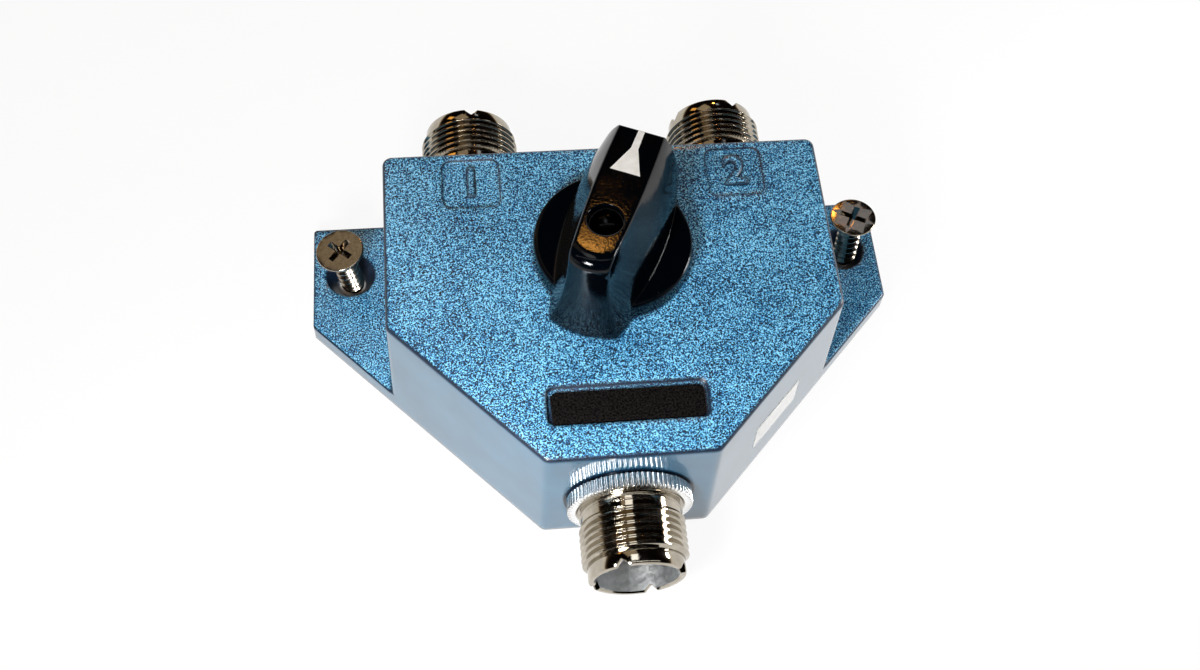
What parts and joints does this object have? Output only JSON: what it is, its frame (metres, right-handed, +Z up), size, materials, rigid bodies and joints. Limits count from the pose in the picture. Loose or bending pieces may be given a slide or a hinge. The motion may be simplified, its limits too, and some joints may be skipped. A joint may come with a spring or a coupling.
{
  "type": "coaxial antenna switch",
  "caption": "Blue die-cast coaxial switch with three threaded coaxial ports, a black pointer knob on top and two drilled mounting flanges.",
  "frame": {"origin": "on the flat underside, below the knob's axis", "axes": "+Z up along the knob's axis, +Y towards the two rear ports, +X to the right with the common port nearest"},
  "size_m": [0.0956, 0.0806, 0.0436],
  "materials": {
    "case_paint": "metallic blue stoved paint, fine sparkle",
    "cover_paint": "metallic blue paint",
    "nickel": "bright nickel plate on brass",
    "contact_silver": "silver plate on brass",
    "insulator": "moulded insulator",
    "brass_strip": "bare brass strip",
    "spring_steel": "polished spring steel",
    "steel": "zinc plated steel",
    "screw_steel": "bright plated steel",
    "knob_black": "glossy moulding",
    "mark_white": "white inlay",
    "rotor_plastic": "brown laminate",
    "label_black": "black anodised plate",
    "label_white": "white film"
  },
  "bodies": {
    "case": {"housing": "case_paint", "bottom_cover": "cover_paint", "cover_screws": "steel", "shaft_bushing": "brass_strip", "bushing_washer": "steel", "bushing_nut": "steel", "detent_spring": "spring_steel", "detent_screws": "steel", "stop_pin": "steel", "contact_rivets": "brass_strip", "port_1_strip": "brass_strip", "port_2_strip": "brass_strip", "common_strip": "brass_strip", "label_plate": "label_black", "side_label": "label_white", "port_1_shell": "nickel", "port_1_lock_ring": "nickel", "port_1_lock_washer": "steel", "port_1_insulator": "insulator", "port_1_contact": "contact_silver", "port_1_contact_leaves": "contact_silver", "port_2_shell": "nickel", "port_2_lock_ring": "nickel", "port_2_lock_washer": "steel", "port_2_insulator": "insulator", "port_2_contact": "contact_silver", "port_2_contact_leaves": "contact_silver", "common_shell": "nickel", "common_lock_ring": "nickel", "common_lock_washer": "steel", "common_insulator": "insulator", "common_contact": "contact_silver", "common_contact_leaves": "contact_silver"},
    "rotor": {"knob": "knob_black", "pointer_mark": "mark_white", "knob_screw": "steel", "shaft": "steel", "circlip": "spring_steel", "detent_wheel": "steel", "rotor_hub": "rotor_plastic", "rotor_pin": "steel", "contact_blade": "contact_silver", "blade_keeper": "rotor_plastic", "blade_screws": "steel"},
    "left_screw": {"left_mounting_screw": "screw_steel"},
    "right_screw": {"right_mounting_screw": "screw_steel"}
  },
  "joints": [
    {"name": "knob_turn", "type": "hinge", "parent": "case", "child": "rotor", "pos_m": [0, 0, 0], "axis": [0, 0, 1], "range_deg": [0, 45], "deforming": ["detent_spring"]},
    {"name": "left_screw_lift", "type": "slide", "parent": "case", "child": "left_screw", "axis": [-0.101, -0.01, 0.9948], "range_m": [0, 0.015]},
    {"name": "right_screw_lift", "type": "slide", "parent": "case", "child": "right_screw", "axis": [-0.034, 0.089, 0.9955], "range_m": [0, 0.015]}
  ]
}
